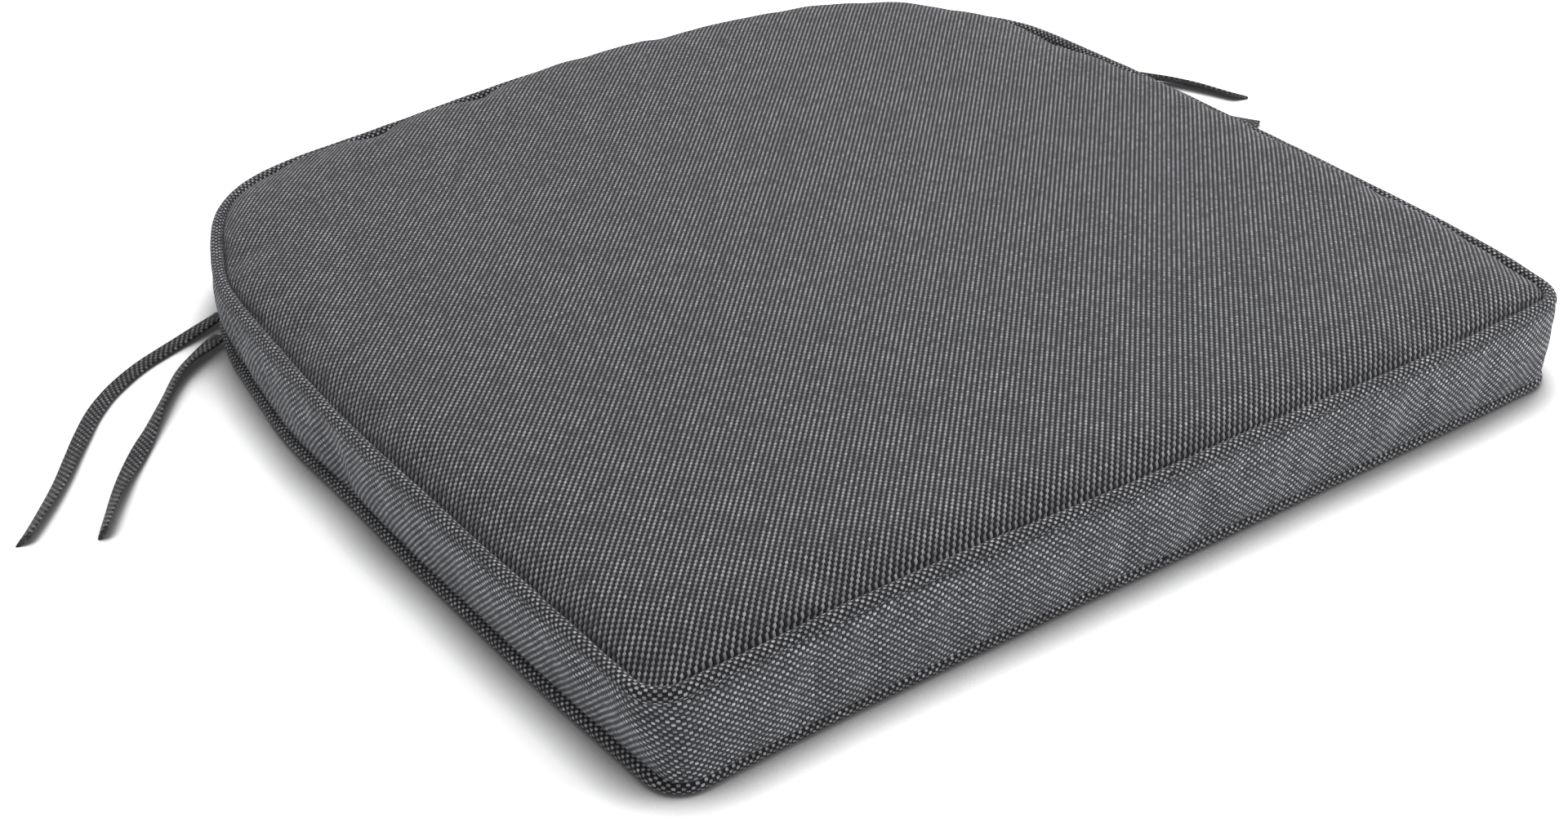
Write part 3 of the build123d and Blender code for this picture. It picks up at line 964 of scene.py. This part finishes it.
# ==== boxing
def wall_point(xy, normals, share):
    """The wall in plan at share of its height: tucked against the piping at each seam, bulging between."""
    top, bottom = wander(xy, TOP_WANDER)[:, :2], wander(xy, BOTTOM_WANDER)[:, :2]
    front = front_share(xy)
    past_zip = blend_weight(np.abs(xy[:, 0]), ZIP_STRIP_HALF, ZIP_STRIP_HALF + 0.05)
    clear_of_zip = np.where(xy[:, 1] > 0, past_zip, 1.0)
    low_out = WALL_LOW_OUT + WALL_FRONT_LOW_OUT * front
    top_out = WALL_TOP_OUT + bumps(xy, WALL_CREASES)
    swell = math.sin(math.pi * share**WALL_SWELL_HEIGHT) ** 0.8
    bulge = (WALL_BULGE - WALL_FRONT_FLATTER * front) * clear_of_zip * swell
    tuck = (1 - clear_of_zip) ** 8 * WALL_END_TUCK * math.sin(math.pi * share)
    out = low_out * (1 - share) + top_out * share + bulge - tuck
    return xy + bottom * (1 - share) + top * share + normals * out[:, None]


def front_share(xy):
    """1 along the front, where the foam presses the boxing out flush with the piping."""
    return blend_weight(-xy[:, 1], HALF_DEPTH - 0.012, HALF_DEPTH - 0.001)


FOLDS = [
    (-0.238, -0.005, 0.010, -0.0014),
    (-0.240, 0.028, 0.012, 0.0008),
    (-0.236, -0.085, 0.016, -0.0006),
    (-0.232, 0.110, 0.014, -0.0009),
    (0.236, -0.060, 0.014, -0.0008),
]
WALL_LOW = BOTTOM_PIPING_Z + 0.0026
WALL_HIGH = TOP_PIPING_Z - 0.0012
WALL_TOP_OUT = 0.0026
WALL_LOW_OUT = -0.0006
WALL_FRONT_LOW_OUT = 0.0026
WALL_BULGE = 0.0016
WALL_FRONT_FLATTER = 0.0008
WALL_SWELL_HEIGHT = 1.3
WALL_END_TUCK = 0.0010
STRIP_FOLD_OUT = -0.0002
# Rows of a zip strip: shares of its height, then inset and height past the fold where it turns in
STRIP_SHARES = (0.0, 0.12, 0.3, 0.5, 0.7, 0.88, 0.97)
STRIP_FOLD = ((0.0007, 0.0), (0.0016, 0.0), (0.0022, 0.0006), (0.0023, 0.0040), (0.0023, 0.0070))
STITCH_SHARE = 0.80
STITCH_LIFT = 0.00012
WALL_CREASES = [(-0.2385, -0.205, 0.022, -0.0022), (-0.232, -0.232, 0.012, -0.0014)]


def make_boxing(material):
    """The strip round the front and sides, bulging between its seams with soft upright folds."""
    at_rear = DENSE[:, 1] > 0
    first = DENSE_ALONG[np.argmin(np.abs(DENSE[:, 0] + ZIP_STRIP_HALF) + ~at_rear)]
    last = DENSE_ALONG[np.argmin(np.abs(DENSE[:, 0] - ZIP_STRIP_HALF) + ~at_rear)]
    xy, normals, along = outline_span(first, last + PERIMETER, BOXING_COUNT)
    lift = wander(xy, TOP_WANDER)[:, 2]
    folds = bumps(xy, FOLDS) + 0.00030 * ripple(along, 0.022, 31)
    vertices, uvs = [], []
    for row in range(BOXING_ROWS):
        share = row / (BOXING_ROWS - 1)
        plan = wall_point(xy, normals, share)
        plan = plan + normals * (folds * math.sin(math.pi * share) ** 0.7)[:, None]
        z = WALL_LOW + (WALL_HIGH + lift - WALL_LOW) * share
        vertices.extend(np.column_stack([plan, z]))
        uvs.extend(np.column_stack([along, z]))
    boxing = make_object("pad_boxing", vertices, grid_faces(BOXING_ROWS, BOXING_COUNT), uvs)
    rows, columns = np.divmod(np.arange(BOXING_ROWS * BOXING_COUNT), BOXING_COUNT)
    sewn = (rows == 0) | (rows == BOXING_ROWS - 1) | (columns == 0) | (columns == BOXING_COUNT - 1)
    simulate_cloth(boxing, np.nonzero(sewn)[0], pressure=0.6, growth=0.012, cap=0.0012)
    subdivide(boxing)
    thicken(boxing, CLOTH_THICKNESS)
    dress(boxing, material, "boxing_cloth", "boxing_strip")


def rear_frames(half_length, spacing):
    """Points and outward normals along the middle of the rear edge, from +X to -X."""
    centre = np.array([0.0, HALF_DEPTH - REAR_RADIUS])
    half = math.asin(half_length / REAR_RADIUS)
    count = max(2, int(2 * half * REAR_RADIUS / spacing))
    angles = np.linspace(math.pi / 2 - half, math.pi / 2 + half, count)
    normals = circle_point(np.zeros(2), 1.0, angles)
    return centre + REAR_RADIUS * normals, normals, (angles - angles[0]) * REAR_RADIUS


def fold_height(along, side):
    """Height of a zip strip's folded edge: the two strips close up past the stops at either end."""
    from_end = np.minimum(along, along[-1] - along)
    opening = (ZIP_FOLD_HALF - ZIP_CLOSED_HALF) * blend_weight(from_end, *ZIP_CLOSING)
    return ZIP_Z + side * (ZIP_CLOSED_HALF + opening)


def strip_place(xy, normals, along, side, share, lift=0.0):
    """Points on a zip strip at share of the way from its piping seam to its fold, lifted off the cloth."""
    seam_z = WALL_HIGH if side > 0 else WALL_LOW
    seam_out = WALL_TOP_OUT if side > 0 else WALL_LOW_OUT
    fold_z = fold_height(along, side)
    move = wander(xy, TOP_WANDER if side > 0 else BOTTOM_WANDER)
    puff = (0.0006 + 0.00025 * ripple(along, 0.02, 41 + side)) * math.sin(math.pi * share)
    out = seam_out + (STRIP_FOLD_OUT - seam_out) * share + puff + lift
    plan = xy + move[:, :2] * (1 - share) + normals * out[:, None]
    return np.column_stack([plan, seam_z + (fold_z - seam_z) * share + move[:, 2] * (1 - share)])


def make_zip_strip(half, side, material):
    """Half of the rear boxing, with its edge folded in beside the zip."""
    xy, normals, along = rear_frames(ZIP_STRIP_HALF, 0.0013)
    fold_z = fold_height(along, side)
    vertices, uvs = [], []
    for share in STRIP_SHARES:
        places = strip_place(xy, normals, along, side, share)
        vertices.extend(places)
        uvs.extend(np.column_stack([along, places[:, 2]]))
    for inset, beyond in STRIP_FOLD:
        vertices.extend(np.column_stack([xy - normals * inset, fold_z + side * beyond]))
        uvs.extend(np.column_stack([along, fold_z - side * (inset + beyond)]))
    rows = len(STRIP_SHARES) + len(STRIP_FOLD)
    strip = make_object(f"pad_zip_strip_{half}", vertices, grid_faces(rows, len(xy)), uvs)
    if side > 0:
        strip.data.flip_normals()
    subdivide(strip)
    thicken(strip, CLOTH_THICKNESS * 0.3)
    dress(strip, material, "boxing_cloth", f"zip_strip_{half}")


# ==== zip
def make_coil(half, side, material):
    """One half of the zip's coil: a tooth every pitch, each a rounded loop that reaches past the middle."""
    pitch, behind, off_middle = 0.0012, 0.00155, 0.00135
    tooth_height, tooth_width, tooth_depth = 0.00205, 0.00052, 0.00085
    xy, normals, _ = rear_frames(COIL_HALF, pitch / 2)
    first = 0 if side > 0 else 1
    mesh = bmesh.new()
    for column in range(first, len(xy), 2):
        centre = xy[column] - normals[column] * behind
        tangent = Vector((-normals[column][1], normals[column][0], 0.0))
        outward = Vector((*normals[column], 0.0))
        made = bmesh.ops.create_uvsphere(mesh, u_segments=10, v_segments=8, radius=1.0)
        for vertex in made["verts"]:
            a, b, c = vertex.co
            reach = tooth_height * (abs(c) ** 0.6) * (1 if c > 0 else -1)
            head = 1.25 if c * side < -0.5 else 1.0
            place = Vector((*centre, ZIP_Z + side * off_middle)) + Vector((0, 0, reach))
            vertex.co = place + tangent * (a * tooth_width * head) + outward * (b * tooth_depth)
    data = bpy.data.meshes.new(f"pad_zip_coil_{half}")
    mesh.to_mesh(data)
    mesh.free()
    dress(add_mesh(data.name, data), material, "zip_coil", f"zip_coil_{half}")


def make_stitch_row(half, side, material):
    """A row of lockstitches along the folded edge beside the zip."""
    stitch, gap, thread, arch_height = 0.0026, 0.0008, 0.00028, 0.0003
    count, ring = 9, 8
    xy, normals, along = rear_frames(ZIP_STRIP_HALF - 0.004, 0.0002)
    line = strip_place(xy, normals, along, side, STITCH_SHARE, STITCH_LIFT)
    vertices, faces, uvs = [], [], []
    start = 0.0
    while start + stitch < along[-1]:
        first = len(vertices)
        for step in range(count):
            share = step / (count - 1)
            column = int(np.searchsorted(along, start + stitch * share))
            arch = math.sin(math.pi * share) ** 0.5
            centre = line[column, :2] + normals[column] * arch_height * arch
            size = thread * (0.35 + 0.65 * arch)
            for k in range(ring):
                angle = 2 * math.pi * k / ring
                x, y = centre + normals[column] * math.cos(angle) * size
                vertices.append((x, y, line[column, 2] + math.sin(angle) * size))
                uvs.append((start + stitch * share, k * thread))
        faces += [tuple(first + i for i in face) for face in grid_faces(count, ring, closed_columns=True)]
        faces.append(tuple(first + i for i in range(ring))[::-1])
        faces.append(tuple(first + (count - 1) * ring + i for i in range(ring)))
        start += stitch + gap
    dress(make_object(f"pad_zip_stitches_{half}", vertices, faces, uvs), material, "zip_tape")


# ==== filling
def make_block(name, low_z, high_z, inset, rounding, crown, material, slot, node):
    """A soft closed block that follows the outline, rounded at both edges and slightly crowned."""
    count = 240
    xy, normals, _ = outline(count)
    face = xy - normals * (inset + rounding)
    shrinks = (0.05, 0.3, 0.6, 0.85)
    turns = [(1 - math.sin(t), 1 - math.cos(t)) for t in np.linspace(0, math.pi / 2, 6)]
    loops = [(face * shrink, low_z) for shrink in shrinks]
    loops += [(xy - normals * (inset + rounding * a), low_z + rounding * b) for a, b in turns]
    loops += [(xy - normals * (inset + rounding * b), high_z - rounding * a) for a, b in turns]
    loops += [(face * shrink, high_z + crown * (1 - shrink**2)) for shrink in shrinks[::-1]]
    vertices = np.concatenate([np.column_stack([plan, np.full(count, z)]) for plan, z in loops])
    faces = grid_faces(len(loops), count, closed_columns=True)
    faces.append(tuple(range(count))[::-1])
    faces.append(tuple((len(loops) - 1) * count + i for i in range(count)))
    block = make_object(name, vertices, faces)
    dress(block, material, slot, node)


# ==== carried-over CAD nodes
def finish_cad_node(node, material, bevel=0.0):
    """A CAD piece whose shape is right: a better material, and edges softened for the highlights."""
    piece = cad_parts[node]
    set_material(piece, material)
    if bevel:
        modifier = piece.modifiers.new("soft_edges", "BEVEL")
        modifier.width = bevel
        modifier.segments = 2
        modifier.limit_method = "ANGLE"
        modifier.angle_limit = math.radians(40)
        modifier.use_clamp_overlap = True


# ==== stage and light
def make_stage():
    size = 4.0
    corners = [(-size, -size, 0), (size, -size, 0), (size, size, 0), (-size, size, 0)]
    floor = make_object("floor", corners, [(0, 1, 2, 3)])
    floor.data.materials.append(floor_material("floor_paint"))


def area_light(name, place, target, size, power):
    data = bpy.data.lights.new(name, "AREA")
    data.shape = "SQUARE"
    data.size = size
    data.energy = power
    light = add_object(name, data)
    light.location = place
    light.rotation_mode = "QUATERNION"
    light.rotation_quaternion = (Vector(target) - Vector(place)).to_track_quat("-Z", "Y")


def make_light():
    world = bpy.data.worlds.new("studio")
    world.use_nodes = True
    background = world.node_tree.nodes["Background"]
    background.inputs["Color"].default_value = (1.0, 1.0, 1.0, 1.0)
    background.inputs["Strength"].default_value = 0.60
    bpy.context.scene.world = world
    area_light("key", (0.84, -0.72, 0.74), (0.05, -0.1, 0), 0.9, 10.0)
    area_light("over", (0.10, 0.30, 1.60), (0, 0, 0), 1.5, 25.0)
    bpy.context.scene.view_settings.view_transform = "Standard"


# ==== build
make_camera()
tie_cloth = weave_material("tie_weave", (0.0016, 0.0014), slant=0.25, gain=0.46, bump=0.00022)
for tie_name, tie_shape in TIES.items():
    make_tie(tie_name, tie_shape, tie_cloth)

cover_cloth = weave_material("cover_weave", (0.00144, 0.00157), slant=0.50, gain=0.68)
# Painted light: the boxing is the same cloth as the top panel, but its colours are brighter (gain 1.60),
# lower in contrast and a little bluer. This is a painted brightness and sheen for the light on the pad's
# sides.
boxing_cloth = weave_material(
    "boxing_weave_painted_bright",
    (0.00155, 0.00140),
    light=(0.175, 0.180, 0.197),
    dark=(0.0150, 0.0154, 0.0176),
    far_slant=0.26,
    gain=1.60,
)
piping_cloth = weave_material("piping_weave", (0.00150, 0.00138), light=(0.200, 0.203, 0.218), gain=1.12)
filler_cloth = cord_material("filler_cord")

make_top_panel(cover_cloth)
make_bottom_panel(cover_cloth)
make_boxing(boxing_cloth)
for zip_half, zip_side in ZIP_HALVES:
    make_zip_strip(zip_half, zip_side, boxing_cloth)
for seam in PIPING_LEVELS:
    make_piping(seam, "piping", "cover", PIPING_RADIUS, piping_cloth, "piping_cloth", rough=0.05)
for seam in PIPING_LEVELS:
    make_piping(seam, "filler", "filler", PIPING_RADIUS * FILLER_SHARE, filler_cloth, "filler_cord")

fluff = wadding_material("wadding_fibre")
make_block("pad_wadding_upper", 0.0405, 0.0440, 0.012, 0.0016, 0.0040, fluff, "wadding", "wadding_upper")
make_block("pad_wadding_lower", 0.0022, 0.0056, 0.009, 0.0016, 0.0, fluff, "wadding", "wadding_lower")
foam = foam_material("foam_cells")
make_block("pad_foam_core", 0.0060, 0.0400, 0.0095, 0.0030, 0.0, foam, "foam", "foam_core")

zip_tape = tape_material("zip_tape_weave")
zip_coil = coil_material("zip_coil_nylon")
zip_metal = metal_material("zip_enamel")
for zip_half, zip_side in ZIP_HALVES:
    finish_cad_node(f"zip_tape_{zip_half}", zip_tape)
    make_coil(zip_half, zip_side, zip_coil)
for metal_node in ("zip_stop_closed_end", "zip_stop_open_end", "zip_slider", "zip_pull"):
    finish_cad_node(metal_node, zip_metal, bevel=0.0002)
zip_thread = thread_material("zip_thread")
for zip_half, zip_side in ZIP_HALVES:
    make_stitch_row(zip_half, zip_side, zip_thread)

make_stage()
make_light()
